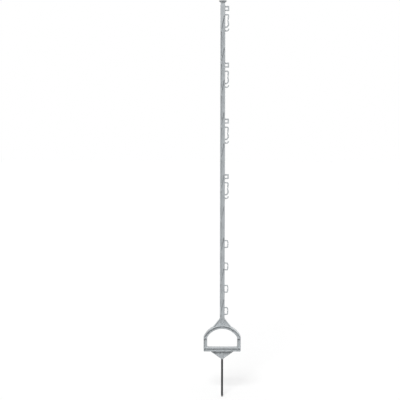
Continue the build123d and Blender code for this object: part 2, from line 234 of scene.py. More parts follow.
class FencePostSpike(bpy.types.PropertyGroup):
    """Spike and the socket that holds it"""

    diameter: length("Diameter", "Thickness of the rod", 0.008)
    tang_diameter: length("Tang diameter", "Thickness of the end held in the moulding", 0.0074)
    tang_chamfer: length("Tang chamfer", "Chamfer on that end", 0.0006)
    held: length("Held length", "Length inside the moulding", 0.035)
    point_length: length("Point length", "Length of the taper to the tip", 0.007)
    point_diameter: length("Point diameter", "Thickness of the blunt tip", 0.0046)
    point_round: length("Point round", "Radius round the blunt tip", 0.0015)
    clearance: length("Clearance", "Room between the held end and its bore", 0.00005)
    mouth_wall: length("Mouth wall", "Wall of the socket at its mouth", 0.0018)
    root_wall: length("Root wall", "Wall of the socket at its top", 0.0028)
    roof: length("Roof", "Plastic over the spike's end", 0.0035)


class FencePostFinish(bpy.types.PropertyGroup):
    """Colours and finishes"""

    plastic: colour("Plastic", "Colour of the moulded plastic", (0.46, 0.485, 0.5))
    plastic_roughness: share("Plastic roughness", "How dull the plastic is", 0.46)
    grain: share("Mould grain", "How strong the fine mould texture is", 0.35)
    steel: colour("Steel", "Colour of the spike", (0.034, 0.035, 0.038))
    steel_bare: colour("Bare steel", "Colour where the point is rubbed bare", (0.26, 0.255, 0.25))
    steel_roughness: share("Steel roughness", "How dull the spike is", 0.5)
    floor: colour("Floor", "Colour of the floor", (0.42, 0.42, 0.42))


class FencePostStage(bpy.types.PropertyGroup):
    """Camera and lights"""

    camera_distance: length("Camera distance", "How far in front of the post the camera stands", 3.3)
    camera_height: length("Camera height", "Height of the camera above the floor", 1.036)
    camera_pitch: angle("Camera pitch", "How far the camera looks down", 4.387)
    camera_roll: angle("Camera roll", "How far the camera leans sideways", -0.13)
    lens: FloatProperty(name="Lens", description="Focal length in millimetres", default=76.4, min=1.0)
    shift: FloatProperty(name="Shift", description="Sideways place in the picture", default=-0.0565)
    world: share("World", "Strength of the light from all round", 0.35)
    key_light: share("Key light", "Strength of the light from the front and above", 2.1, 10.0)
    top_light: share("Top light", "Strength of the soft light from overhead", 0.95, 10.0)
    back_light: share("Back light", "Strength of the soft light from behind", 0.8, 10.0)
    floor_glow: share("Floor glow", "What the camera sees of the floor on top of its lit colour", 0.53)


GROUPS = {
    "heights": FencePostHeights,
    "shaft": FencePostShaft,
    "eyelets": FencePostEyelets,
    "stirrup": FencePostStirrup,
    "spike": FencePostSpike,
    "finish": FencePostFinish,
    "stage": FencePostStage,
}


def settings(group):
    """One group of the scene's fence post settings."""
    return getattr(bpy.context.scene, "fence_post_" + group)


# Outlines


def rounded(before, here, after, bend, steps=0):
    """The arc that rounds a corner, and its radius. It takes less than half of either side."""
    here = Vector(here)
    back, ahead = Vector(before) - here, Vector(after) - here
    half = back.angle(ahead) / 2
    reach = min(bend / math.tan(half), 0.48 * back.length, 0.48 * ahead.length)
    radius = reach * math.tan(half)
    start, end = here + back.normalized() * reach, here + ahead.normalized() * reach
    middle = here + (back.normalized() + ahead.normalized()).normalized() * (radius / math.sin(half))
    arm = start - middle
    sweep = arm.angle_signed(end - middle)
    steps = steps or max(3, round(abs(sweep) / PATH_TURN))
    points = []
    for step in range(steps + 1):
        turn = sweep * step / steps
        points.append((middle.x + arm.x * math.cos(turn) + arm.y * math.sin(turn),
                       middle.y - arm.x * math.sin(turn) + arm.y * math.cos(turn)))
    return points, radius


def bend_corners(corners, inset=0.0):
    """Points of a closed outline, anticlockwise, with its corners bent to their radius.

    Where a bend is tighter than the inset that follows, its points give way less.
    """
    points = []
    for index, corner in enumerate(corners):
        if corner.bend <= 0.0:
            points.append(Point(corner.x, corner.z, corner.held))
            continue
        before, after = corners[index - 1], corners[(index + 1) % len(corners)]
        bent, radius = rounded(before[:2], corner[:2], after[:2], corner.bend, BEND_STEPS)
        convex = (corner.x - before.x) * (after.z - corner.z) > (corner.z - before.z) * (after.x - corner.x)
        give = min(1.0, BEND_GIVE * radius / inset) if convex and inset > 0 else 1.0
        points += [Point(*place, before.held and corner.held, give) for place in bent[:-1]]
        points.append(Point(*bent[-1], corner.held, give))
    return points


def bent_path(points, bends):
    """An open path with its corners rounded, as closely spaced points."""
    path = [points[0]]
    for before, here, after, bend in zip(points, points[1:], points[2:], bends):
        path += rounded(before, here, after, bend)[0]
    return path + [points[-1]]


def sharp(points, held=False):
    """Corners that aren't bent."""
    return [Corner(x, z, 0.0, held) for x, z in points]


def box(left, right, low, high):
    """The corners of a rectangle, anticlockwise."""
    return [(left, low), (right, low), (right, high), (left, high)]


def shift(points, distance):
    """A closed outline moved outwards, except along its held edges."""
    moved = []
    for index, point in enumerate(points):
        before, after = points[index - 1], points[(index + 1) % len(points)]
        normals, pulls = [], []
        for start, end in ((before, point), (point, after)):
            run = math.hypot(end.x - start.x, end.z - start.z)
            normals.append(((end.z - start.z) / run, (start.x - end.x) / run))
            pulls.append(0.0 if start.held else distance * point.give)
        (ax, az), (bx, bz) = normals
        turn = ax * bz - az * bx
        if abs(turn) < STRAIGHT:
            pull = max(pulls, key=abs) / 2
            moved.append((point.x + (ax + bx) * pull, point.z + (az + bz) * pull))
        else:
            moved.append((
                point.x + (pulls[0] * bz - pulls[1] * az) / turn,
                point.z + (pulls[1] * ax - pulls[0] * bx) / turn,
            ))
    return moved


def arc(middle_x, middle_z, radius, start, end, steps):
    """Points along an arc. Angles are from straight up, clockwise."""
    return [
        (middle_x + radius * math.sin(start + (end - start) * step / steps),
         middle_z + radius * math.cos(start + (end - start) * step / steps))
        for step in range(steps + 1)
    ]


def flipped(points):
    """The same points on the other side of the post, still anticlockwise."""
    return [(-x, z) for x, z in reversed(points)]


def mirrored(corners):
    """The same corners on the other side of the post, with the same edges held."""
    turned = [corner._replace(x=-corner.x) for corner in reversed(corners)]
    holds = [corner.held for corner in turned]
    return [corner._replace(held=holds[(index + 1) % len(holds)]) for index, corner in enumerate(turned)]


def quarter():
    """The angles of a quarter turn, for rounding an edge."""
    return [math.pi / 2 * step / EDGE_STEPS for step in range(EDGE_STEPS + 1)]


# Solids


def ring(bm, points, y):
    """A ring of vertices at one depth."""
    return [bm.verts.new((x, y, z)) for x, z in points]


def bridge(bm, rings, closed=False):
    """Faces between rings of the same number of vertices."""
    pairs = list(zip(rings, rings[1:]))
    if closed:
        pairs.append((rings[-1], rings[0]))
    for one, other in pairs:
        for index in range(len(one)):
            bm.faces.new((one[index - 1], one[index], other[index], other[index - 1]))


def cover(bm, loops):
    """Fills a flat face between an outer ring and the rings inside it."""
    flat = [[Vector((vert.co.x, vert.co.z, 0.0)) for vert in loop] for loop in loops]
    verts = [vert for loop in loops for vert in loop]
    for triangle in tessellate_polygon(flat):
        bm.faces.new([verts[index] for index in triangle])


def rim_profile(half, edge):
    """Inset and depth along a plate's rim, from the front face to the back."""
    base = SEAM_HEIGHT + DRAFT * (half - edge)
    front = [(base + edge + SUPPORT, -half)]
    front += [(base + edge * (1 - math.sin(a)), edge * (1 - math.cos(a)) - half) for a in quarter()]
    front.append((SEAM_HEIGHT, -SEAM_HALF))
    back = [(inset, -y) for inset, y in reversed(front)]
    return front + [(0.0, 0.0)] + back


def pocket_profile(half, floor, edge, fillet):
    """Outset and depth from a hollow's mouth down to its floor."""
    drop = DRAFT * (half - floor)
    rows = [(edge + SUPPORT, half)]
    rows += [(edge * (1 - math.sin(a)), half - edge * (1 - math.cos(a))) for a in quarter()]
    rows += [(-drop - fillet * (1 - math.cos(a)), floor + fillet * (1 - math.sin(a))) for a in quarter()]
    rows.append((-drop - fillet - SUPPORT, floor))
    return rows


def plate(bm, outline, half, edge, at=(0.0, 0.0), holes=(), pockets=(), floor=0.0, mouth=0.4 * MM,
          fillet=0.5 * MM):
    """A plate with rounded edges, a mould seam, through holes and hollows in both faces."""

    def placed(points):
        return [(x + at[0], z + at[1]) for x, z in points]

    faces = {-1: [], 1: []}
    for loop, sign in [(outline, -1)] + [(hole, 1) for hole in holes]:
        rings = [ring(bm, placed(shift(loop, sign * inset)), y) for inset, y in rim_profile(half, edge)]
        bridge(bm, rings)
        faces[-1].append(rings[0])
        faces[1].append(rings[-1])
    for loop in pockets:
        for side in (-1, 1):
            rings = [
                ring(bm, placed(shift(loop, outset)), side * y)
                for outset, y in pocket_profile(half, floor, mouth, fillet)
            ]
            bridge(bm, rings)
            cover(bm, [rings[-1]])
            faces[side].append(rings[0])
    for side in (-1, 1):
        cover(bm, faces[side])


def lathe(bm, profile, at, axis="Z", steps=ROUND_STEPS, hollow=False):
    """A turned shape from pairs of radius and height; a closed profile makes it hollow."""
    rings = []
    for radius, height in profile:
        loop = []
        for step in range(steps):
            turn = 2 * math.pi * step / steps
            u, v = radius * math.cos(turn), radius * math.sin(turn)
            place = (u, v, height) if axis == "Z" else (u, height, v)
            loop.append(bm.verts.new(Vector(at) + Vector(place)))
        rings.append(loop)
    bridge(bm, rings, closed=hollow)
    if not hollow:
        bm.faces.new(rings[0])
        bm.faces.new(rings[-1])


def new_object(name, bm, material):
    """Turns a mesh under construction into an object of the scene."""
    mesh = bpy.data.meshes.new(name)
    bm.to_mesh(mesh)
    bm.free()
    mesh.materials.append(material)
    thing = bpy.data.objects.new(name, mesh)
    bpy.context.scene.collection.objects.link(thing)
    return thing


def new_piece(name, bm, material, node):
    """Turns a mesh into a piece of the post that rides with it."""
    bmesh.ops.recalc_face_normals(bm, faces=bm.faces)
    piece = new_object(name, bm, material)
    piece.data.shade_smooth()
    piece.data.set_sharp_from_angle(angle=SHARP_ANGLE)
    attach(piece, BODY)
    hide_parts(node)


# Finishes


def new_group(name, numbers, results):
    """A shader node group on a vector and some numbers, with its own inputs and outputs to link."""
    group = bpy.data.node_groups.new(name, "ShaderNodeTree")
    group.interface.new_socket("Vector", in_out="INPUT", socket_type="NodeSocketVector")
    for label, value in numbers.items():
        group.interface.new_socket(label, in_out="INPUT", socket_type="NodeSocketFloat").default_value = value
    for label in results:
        group.interface.new_socket(label, in_out="OUTPUT", socket_type="NodeSocketFloat")
    return group, group.nodes.new("NodeGroupInput").outputs, group.nodes.new("NodeGroupOutput").inputs


def add_node(tree, kind, inputs, **options):
    """A node with its options set, and each input linked to a socket or set to a value."""
    node = tree.nodes.new(kind)
    for option, value in options.items():
        setattr(node, option, value)
    for key, value in inputs.items():
        socket = node.inputs[key]
        if isinstance(value, bpy.types.NodeSocket):
            tree.links.new(value, socket)
        else:
            socket.default_value = (*value, 1.0) if socket.type == "RGBA" else value
    return node


def noise(tree, vector, scale, detail, roughness=0.5):
    """A noise texture on a vector."""
    inputs = {"Vector": vector, "Scale": scale, "Detail": detail, "Roughness": roughness}
    return add_node(tree, "ShaderNodeTexNoise", inputs).outputs["Fac"]


def maths(tree, operation, first, second, clamp=False):
    """One step of arithmetic on two values, each a socket or a number."""
    node = add_node(tree, "ShaderNodeMath", {0: first, 1: second}, operation=operation, use_clamp=clamp)
    return node.outputs[0]


def spread(tree, value, low, high, new_low=0.0, new_high=1.0):
    """Maps a range of a value onto another, clamped."""
    inputs = {"Value": value, "From Min": low, "From Max": high, "To Min": new_low, "To Max": new_high}
    return add_node(tree, "ShaderNodeMapRange", inputs).outputs["Result"]


def blend_colours(tree, factor, first, second):
    """Mixes two colours, each a socket or three numbers."""
    node = add_node(tree, "ShaderNodeMix", {"Factor": factor, 6: first, 7: second}, data_type="RGBA")
    return node.outputs[2]


def stretched(tree, vector, scale):
    """Coordinates scaled differently along each axis."""
    return add_node(tree, "ShaderNodeMapping", {"Vector": vector, "Scale": scale}).outputs["Vector"]


def use_group(tree, group, vector, values):
    """Places a node group in a material, with its own values."""
    return add_node(tree, "ShaderNodeGroup", {"Vector": vector, **values}, node_tree=group)


def add_bump(tree, shader, height, strength, distance):
    """Feeds a height through a bump node into the shader's normal."""
    bump = add_node(tree, "ShaderNodeBump", {"Height": height, "Strength": strength, "Distance": distance})
    tree.links.new(bump.outputs["Normal"], shader.inputs["Normal"])


def surface_grain():
    """A group that gives a fine grain and slow waves, for a bump, and a soft mottle."""
    name = "Surface grain"
    if name in bpy.data.node_groups:
        return bpy.data.node_groups[name]
    numbers = {"Grain scale": 2500.0, "Wave scale": 60.0, "Wave share": 0.5}
    group, given, result = new_group(name, numbers, ("Height", "Mottle"))
    fine = noise(group, given["Vector"], given["Grain scale"], 3.0, 0.6)
    slow = noise(group, given["Vector"], given["Wave scale"], 2.0)
    height = maths(group, "ADD", fine, maths(group, "MULTIPLY", slow, given["Wave share"]))
    group.links.new(height, result["Height"])
    group.links.new(spread(group, slow, 0.3, 0.7), result["Mottle"])
    return group


def edge_wear_and_highlight():
    """A group that finds edges that stand proud: a painted highlight on the plastic, and where handling rubs
    the steel bare.
    """
    name = "Rubbed edges"
    if name in bpy.data.node_groups:
        return bpy.data.node_groups[name]
    group, given, result = new_group(name, {"Patch scale": 40.0, "Amount": 0.5}, ("Mask",))
    point = group.nodes.new("ShaderNodeNewGeometry").outputs["Pointiness"]
    proud = spread(group, point, 0.5, 0.62)
    patches = spread(group, noise(group, given["Vector"], given["Patch scale"], 4.0), 0.35, 0.65)
    mask = maths(group, "MULTIPLY", maths(group, "MULTIPLY", proud, patches), given["Amount"], clamp=True)
    group.links.new(mask, result["Mask"])
    return group


def new_material(name):
    """A material with its Principled shader and object coordinates."""
    material = bpy.data.materials.new(name)
    material.use_nodes = True
    tree = material.node_tree
    place = tree.nodes.new("ShaderNodeTexCoord").outputs["Object"]
    return material, tree, tree.nodes["Principled BSDF"], place


def moulded_plastic():
    """Light grey moulded plastic: satin, with mould grain, flow marks and a painted highlight on its proud
    edges.
    """
    name = "Moulded grey plastic"
    if name in bpy.data.materials:
        return bpy.data.materials[name]
    finish = settings("finish")
    material, tree, shader, place = new_material(name)
    base = Vector(finish.plastic)
    values = {"Grain scale": 2200.0, "Wave scale": 55.0, "Wave share": 0.6}
    grain = use_group(tree, surface_grain(), place, values)
    flow = spread(tree, noise(tree, stretched(tree, place, (70.0, 70.0, 9.0)), 1.0, 3.0, 0.55), 0.3, 0.7)
    # Painted highlight: edges that stand proud are made lighter than the plastic's own colour
    edges = use_group(tree, edge_wear_and_highlight(), place, {"Patch scale": 45.0, "Amount": 0.35})
    body = blend_colours(tree, grain.outputs["Mottle"], base * 0.975, base * 1.02)
    body = blend_colours(tree, maths(tree, "MULTIPLY", flow, 0.35), body, base * 0.94)
    body = blend_colours(tree, edges.outputs["Mask"], body, base * 1.12)
    tree.links.new(body, shader.inputs["Base Color"])
    dull = maths(tree, "ADD", maths(tree, "MULTIPLY", flow, 0.09), finish.plastic_roughness - 0.04)
    tree.links.new(dull, shader.inputs["Roughness"])
    shader.inputs["Specular IOR Level"].default_value = 0.3
    add_bump(tree, shader, grain.outputs["Height"], finish.grain, 0.05 * MM)
    return material


def spike_steel():
    """Dark rolled steel, with draw marks along it and a point rubbed bare."""
    name = "Dark rolled steel"
    if name in bpy.data.materials:
        return bpy.data.materials[name]
    finish, taper = settings("finish"), settings("spike").point_length
    material, tree, shader, place = new_material(name)
    base = Vector(finish.steel)
    values = {"Grain scale": 900.0, "Wave scale": 140.0, "Wave share": 0.8}
    grain = use_group(tree, surface_grain(), place, values)
    marks = noise(tree, stretched(tree, place, (1600.0, 1600.0, 22.0)), 1.0, 4.0, 0.6)
    height = add_node(tree, "ShaderNodeSeparateXYZ", {"Vector": place}).outputs["Z"]
    wander = maths(tree, "MULTIPLY", noise(tree, place, 260.0, 3.0), 8.0 * MM)
    near_tip = spread(tree, maths(tree, "ADD", height, wander), taper * 1.9, taper * 0.9)
    worn = use_group(tree, edge_wear_and_highlight(), place, {"Patch scale": 300.0, "Amount": 0.6})
    bare = maths(tree, "MAXIMUM", maths(tree, "MULTIPLY", near_tip, 0.7), worn.outputs["Mask"])
    body = blend_colours(tree, grain.outputs["Mottle"], base * 0.8, base * 1.25)
    body = blend_colours(tree, spread(tree, marks, 0.45, 0.75, 0.0, 0.4), body, base * 1.7)
    body = blend_colours(tree, bare, body, Vector(finish.steel_bare))
    tree.links.new(body, shader.inputs["Base Color"])
    shader.inputs["Metallic"].default_value = 0.7
    shader.inputs["Specular IOR Level"].default_value = 0.3
    shader.inputs["Specular Tint"].default_value = (0.4, 0.4, 0.4, 1.0)
    dull = maths(tree, "ADD", maths(tree, "MULTIPLY", marks, 0.2), finish.steel_roughness - 0.1)
    tree.links.new(dull, shader.inputs["Roughness"])
    add_bump(tree, shader, maths(tree, "ADD", grain.outputs["Height"], marks), 0.4, 0.06 * MM)
    return material


# Pieces


def new_moulding(name, bm):
    """Turns a mesh into a moulded piece, and gives its operator's result."""
    new_piece(name, bm, moulded_plastic(), "moulded_post")
    return {"FINISHED"}


class FENCEPOST_OT_shaft(bpy.types.Operator):
    """Build the shaft, with a zigzag rib in the recess on each face"""

    bl_idname = "fence_post.shaft"
    bl_label = "Shaft"

    def execute(self, context):
        bm = bmesh.new()
        sizes, heights = settings("shaft"), settings("heights")
        side, top = sizes.width / 2, heights.shoulder_bottom
        # Both feet end inside the arch's flange, the hollows' a little above the shaft's own
        foot, hollow_foot = (heights.arch_crown - part * settings("stirrup").flange for part in (0.8, 0.45))
        outline = [Point(-side, foot, True), Point(side, foot), Point(side, top, True), Point(-side, top)]
        hollows = self.hollows(sizes, heights, hollow_foot)
        plate(bm, outline, sizes.depth / 2, sizes.edge_round, pockets=hollows, floor=sizes.web / 2)
        return new_moulding("shaft", bm)

    def hollows(self, sizes, heights, low):
        """The hollows that the zigzag rib leaves, blunt where its feet meet the flanges."""
        wall = sizes.width / 2 - sizes.flange
        climb = sizes.rib_pitch / (2 * wall)
        clear = sizes.rib / 2 * math.sqrt(1 + climb**2)
        tip = clear + sizes.foot_width * climb
        bend, inset, least_width, close = 0.7 * MM, 0.8 * MM, 3.0 * MM, 1e-7
        x, z = wall, heights.recess_top
        hollows = []
        while z - tip > low:
            inward = -math.copysign(1.0, x)
            middle = z - sizes.rib_pitch
            near, far = x + inward * sizes.foot_width, -x - inward * sizes.foot_width
            apex = sizes.rib_pitch - clear - climb * abs(far - x)
            top, bottom = z - tip, 2 * middle - z + tip
            room = [(x, top), (x, bottom), (near, bottom)]
            room += [(far, middle - apex), (far, middle + apex), (near, top)]
            cut = self.above(room, low)
            if cut and max(p[0] for p in cut) - min(p[0] for p in cut) > least_width:
                if x > 0:
                    cut.reverse()
                # The edge along the shaft's foot is held and has no bends
                ends = [abs(point[1] - low) < close for point in cut]
                corners = [
                    Corner(*point, 0.0 if ends[index] else bend, ends[index] and ends[(index + 1) % len(cut)])
                    for index, point in enumerate(cut)
                ]
                hollows.append(bend_corners(corners, inset))
            x, z = -x, middle
        return hollows

    def above(self, points, low):
        """A convex polygon cut off below a height."""
        kept = []
        for start, end in zip(points, points[1:] + points[:1]):
            if start[1] >= low:
                kept.append(start)
            if (start[1] >= low) != (end[1] >= low):
                part = (low - start[1]) / (end[1] - start[1])
                kept.append((start[0] + (end[0] - start[0]) * part, low))
        return kept


class FENCEPOST_OT_head(bpy.types.Operator):
    """Build the shoulder, the neck and the domed disc on top"""

    bl_idname = "fence_post.head"
    bl_label = "Head"

    def execute(self, context):
        bm = bmesh.new()
        sizes, heights = settings("shaft"), settings("heights")
        half_x, half_y, low_z = sizes.width / 2, sizes.depth / 2, heights.shoulder_bottom
        base = SEAM_HEIGHT + DRAFT * (half_y - sizes.edge_round)
        # The lowest ring is drawn in and lies inside the shaft
        drawn_in, sunk = 0.6 * MM, 0.8 * MM
        tight = self.section(half_x - drawn_in, half_y - drawn_in, sizes.edge_round, base)
        low = self.section(half_x, half_y, sizes.edge_round, base)
        neck = self.section(sizes.neck_width / 2, sizes.neck_depth / 2, sizes.neck_corner, SEAM_HEIGHT)
        rows = [(tight, low_z - sunk), (low, low_z)]
        for part in (0.03, 0.2, 0.4, 0.6, 0.8, 0.93, 1.0):
            eased = part * 0.82 + 0.18 * part * part * (3 - 2 * part)
            between = [tuple(Vector(a).lerp(Vector(b), eased)) for a, b in zip(low, neck)]
            rows.append((between, low_z + (heights.shoulder_top - low_z) * part))
        rows += [(neck, heights.shoulder_top + 0.4 * MM), (neck, heights.rim_bottom + 0.6 * MM)]
        rings = [[bm.verts.new((x, y, z)) for x, y in points] for points, z in rows]
        bridge(bm, rings)
        bm.faces.new(rings[0])
        bm.faces.new(rings[-1])
        lathe(bm, self.disc(sizes, heights), (0.0, 0.0, 0.0), steps=96)
        return new_moulding("head", bm)

    def section(self, half_x, half_y, corner, seam):
        """A rounded rectangle seen from above, with the mould seam on both sides."""
        reach_x, reach_y, steps = half_x - seam - corner, half_y - corner, 8
        turns = [math.pi / 2 * step / steps for step in range(steps + 1)]
        quadrant = [(half_x, 0.0), (half_x - seam, SEAM_HALF)]
        quadrant += [(reach_x + corner * math.cos(a), reach_y + corner * math.sin(a)) for a in turns]
        upper = quadrant + [(-x, y) for x, y in reversed(quadrant)]
        return upper + [(x, -y) for x, y in reversed(upper[1:-1])]

    def disc(self, sizes, heights):
        """Radius and height along the disc, from inside the neck to the middle of its top."""
        radius, bend = sizes.head_diameter / 2, sizes.rim_round
        top, dome = cad_high.z, cad_high.z - heights.rim_top
        inner, low = sizes.neck_width / 2, heights.neck_top
        flat, level = radius - bend, heights.rim_top - bend
        slope = (heights.rim_bottom - low) / (radius - inner)
        lean = math.atan(slope)
        middle = heights.rim_bottom + bend * (math.sqrt(1 + slope**2) - slope)
        rows = [(inner * 0.6, low + 0.3 * MM), (inner * 0.9, low + 0.1 * MM), (inner, low)]
        for a in quarter():
            turn = lean + (math.pi / 2 - lean) * a / (math.pi / 2)
            rows.append((flat + bend * math.sin(turn), middle - bend * math.cos(turn)))
        rows += [(flat + bend * math.cos(a), level + bend * math.sin(a)) for a in quarter()]
        rows += [(radius * part, top - dome * part * part) for part in (0.86, 0.72, 0.58, 0.44, 0.3)]
        gate, lip, nub = 2.4 * MM, 0.4 * MM, 1.2 * MM
        return rows + [
            (gate + lip, top - 0.02 * MM), (gate, top - 0.1 * MM), (gate - lip, top - 0.3 * MM),
            (nub, top - 0.32 * MM), (nub - 0.2 * MM, top - 0.2 * MM), (0.3 * MM, top - 0.15 * MM),
        ]


def root_corners(low, high, flare):
    """The buried end of an eyelet, from its top edge down to its bottom edge, flared into the shaft."""
    buried, spare = -1.8 * MM, flare + 0.8 * MM
    return [
        Corner(-OVERLAP, high, flare), Corner(-OVERLAP, high + spare, 0.0, True),
        Corner(buried, high + spare, 0.0, True), Corner(buried, low - spare, 0.0, True),
        Corner(-OVERLAP, low - spare), Corner(-OVERLAP, low, flare),
    ]


def bend_eyelet(corners):
    """The outline of an eyelet, with its corners bent to suit the round along its edges."""
    return bend_corners(corners, settings("eyelets").edge_round + RIM_INSET)


def group_heights(drop=0.0):
    """The height in each group that lies this far below the group's top edge."""
    first, pitch = settings("heights").first_group, settings("heights").group_pitch
    return [first + index * pitch - drop for index in range(settings("eyelets").group_count)]


def add_eyelets(bm, outlines, tops, holes=()):
    """The same plates on the side of the shaft at several heights."""
    sizes, side = settings("eyelets"), settings("shaft").width / 2
    for top in tops:
        for outline in outlines:
            plate(bm, outline, sizes.depth / 2, sizes.edge_round, at=(side, top), holes=holes)


class FENCEPOST_OT_square_eyes(bpy.types.Operator):
    """Build the closed square eyes at the top of each group"""

    bl_idname = "fence_post.square_eyes"
    bl_label = "Square eyes"

    def execute(self, context):
        bm = bmesh.new()
        sizes = settings("eyelets")
        reach, low = sizes.eye_reach, -sizes.eye_height
        outer_bend, inner_bend, past_wall = 1.0 * MM, 0.6 * MM, 0.2 * MM
        outer = root_corners(low, 0.0, sizes.root_flare)
        outer += [Corner(reach, low, outer_bend), Corner(reach, 0.0, outer_bend)]
        room = box(-past_wall, reach - sizes.eye_bar, low + sizes.eye_bar, -sizes.eye_top_bar)
        hole = [Corner(*point, inner_bend) for point in room]
        add_eyelets(bm, [bend_eyelet(outer)], group_heights(), holes=[bend_corners(hole)])
        return new_moulding("square_eyes", bm)


def cut_arm(path, bar, slit, lean, gap, upper):
    """Both edges of half a slotted eyelet: a bar along a path from the shaft, cut off at a slanted slit.

    The path runs from the root; the slit passes through a point and leans from upright.
    """
    left, right = [], []
    for index, (x, z) in enumerate(path):
        before, after = path[max(index - 1, 0)], path[min(index + 1, len(path) - 1)]
        one = Vector((x - before[0], z - before[1])) if index else Vector((after[0] - x, after[1] - z))
        two = Vector((after[0] - x, after[1] - z)) if index < len(path) - 1 else one
        one.normalize()
        two.normalize()
        normal = Vector((-one.y - two.y, one.x + two.x))
        normal *= bar / 2 / (1 + one.dot(two))
        left.append((x + normal.x, z + normal.y))
        right.append((x - normal.x, z - normal.y))
    way = Vector((-math.sin(lean), math.cos(lean)))
    across = Vector((way.y, -way.x))
    level = across.dot(Vector(slit)) + (gap / 2 if (across.y > 0) == upper else -gap / 2)
    ends = []
    for line in (left, right):
        kept = []
        for start, end in zip(line, line[1:]):
            kept.append(start)
            high, low = across.dot(Vector(start)) - level, across.dot(Vector(end)) - level
            # The line of the slit also crosses the bar elsewhere, so only a crossing close by counts
            if high * low < 0:
                cut = Vector(start).lerp(Vector(end), high / (high - low))
                if (cut - Vector(slit)).length < 1.5 * bar:
                    kept.append(tuple(cut))
                    break
        ends.append(kept)
    return ends


def clear_of_end(line, reach):
    """A line without the points that crowd its last one."""
    end = Vector(line[-1])
    return [point for point in line[:-1] if (Vector(point) - end).length > reach] + [line[-1]]


def slotted_arms(path, bar, slit, lean, height):
    """The outlines of both arms of an eyelet that a slanted slit divides."""
    sizes = settings("eyelets")
    crowding, tip_bend = 2.2 * MM, 0.7 * MM
    arms = []
    for upper in (True, False):
        edges = cut_arm(path if upper else path[::-1], bar, slit, lean, sizes.slit_gap, upper)
        left, right = (clear_of_end(line[1:], crowding) for line in edges)
        bottom = -bar if upper else -height
        corners = root_corners(bottom, bottom + bar, sizes.root_flare) + sharp(right[:-1])
        corners += [Corner(*right[-1], tip_bend), Corner(*left[-1], tip_bend)] + sharp(reversed(left[:-1]))
        arms.append(bend_eyelet(corners))
    return arms


class FENCEPOST_OT_tape_slots(bpy.types.Operator):
    """Build the long tape slots, each with a slanted slit in its outer bar"""

    bl_idname = "fence_post.tape_slots"
    bl_label = "Tape slots"

    def execute(self, context):
        bm = bmesh.new()
        sizes = settings("eyelets")
        bar, root, slit = sizes.slot_bar, -1.2 * MM, -sizes.slit_drop
        x, low = sizes.slot_reach - bar / 2, bar / 2 - sizes.slot_height
        waist, half = x - sizes.slot_waist, sizes.waist_length / 2
        ramp = half + sizes.waist_ramp
        points = [
            (root, -bar / 2), (x, -bar / 2), (x, slit + ramp), (waist, slit + half), (waist, slit - half),
            (x, slit - ramp), (x, low + sizes.heel_rise), (x - sizes.heel_inset, low), (root, low),
        ]
        corner, gentle, toe = 4.0 * MM, 8.0 * MM, 3.0 * MM
        path = bent_path(points, [corner, gentle, gentle, gentle, gentle, corner, toe])
        arms = slotted_arms(path, bar, (waist, slit), sizes.slit_lean, sizes.slot_height)
        add_eyelets(bm, arms, group_heights(sizes.slot_drop))
        return new_moulding("tape_slots", bm)


class FENCEPOST_OT_small_loops(bpy.types.Operator):
    """Build the small loops on the lower half, each with a slanted slit"""

    bl_idname = "fence_post.small_loops"
    bl_label = "Small loops"

    def execute(self, context):
        bm = bmesh.new()
        sizes, heights = settings("eyelets"), settings("heights")
        bar, root = sizes.loop_bar, -1.2 * MM
        x, low = sizes.loop_reach - bar / 2, bar / 2 - sizes.loop_height
        corner, slit = x - sizes.loop_lean, (x, -sizes.loop_slit_drop)
        path = bent_path([(root, -bar / 2), (corner, -bar / 2), slit, (corner, low), (root, low)],
                         [sizes.loop_bend] * 3)
        tops = [heights.first_loop + index * heights.loop_pitch for index in range(sizes.loop_count)]
        add_eyelets(bm, slotted_arms(path, bar, slit, sizes.loop_slit_lean, sizes.loop_height), tops)
        return new_moulding("small_loops", bm)


class FENCEPOST_OT_hooks(bpy.types.Operator):
    """Build the open hooks at the foot of each group"""

    bl_idname = "fence_post.hooks"
    bl_label = "Hooks"

    def execute(self, context):
        bm = bmesh.new()
        sizes = settings("eyelets")
        inner, outer = sizes.hook_radius - sizes.hook_bar / 2, sizes.hook_radius + sizes.hook_bar / 2
        x, root_top, steps = sizes.hook_reach - outer, -sizes.hook_root, 22
        flare, tip_bend = 0.7 * MM, 1.5 * MM
        outside = arc(x, 0.0, outer, math.pi, sizes.hook_tip, steps)
        inside = arc(x, 0.0, inner, sizes.hook_tip, 2 * math.pi - math.acos(root_top / inner), steps)
        corners = root_corners(-outer, root_top, flare) + sharp(outside[:-1])
        corners += [Corner(*outside[-1], tip_bend), Corner(*inside[0], tip_bend)] + sharp(inside[1:])
        add_eyelets(bm, [bend_eyelet(corners)], group_heights(sizes.hook_drop))
        return new_moulding("hooks", bm)


def arches():
    """The inside and the outside of the stirrup: half its width and the circle of its arch."""
    sizes, heights = settings("stirrup"), settings("heights")
    inner_side = sizes.opening_width / 2
    outer_side = inner_side + sizes.column_width
    both = []
    for side, crown in ((inner_side, heights.opening_crown), (outer_side, heights.arch_crown)):
        rise = crown - heights.arch_corner
        radius = (side * side + rise * rise) / (2 * rise)
        both.append((side, Circle(radius, crown - radius)))
    return both


def grown(circle, by):
    """The same circle, with its radius changed."""
    return Circle(circle.radius + by, circle.middle)


def above_x(circle, x):
    """The point on the upper half of a circle that is this far from the middle."""
    return x, circle.middle + math.sqrt(circle.radius**2 - x * x)


def at_lean(circle, lean):
    """The point on a circle at an angle from straight up, clockwise."""
    return circle.radius * math.sin(lean), circle.middle + circle.radius * math.cos(lean)


def meet(circle, start, way):
    """Where a straight line from inside a circle meets it."""
    x, z = start[0], start[1] - circle.middle
    b = x * way[0] + z * way[1]
    along = -b + math.sqrt(b * b - (x * x + z * z - circle.radius**2))
    return start[0] + along * way[0], start[1] + along * way[1]


def span(circle, start, end, steps):
    """Points on a circle from one of its points to another."""
    first, last = (math.atan2(x, z - circle.middle) for x, z in (start, end))
    return arc(0.0, circle.middle, circle.radius, first, last, steps)


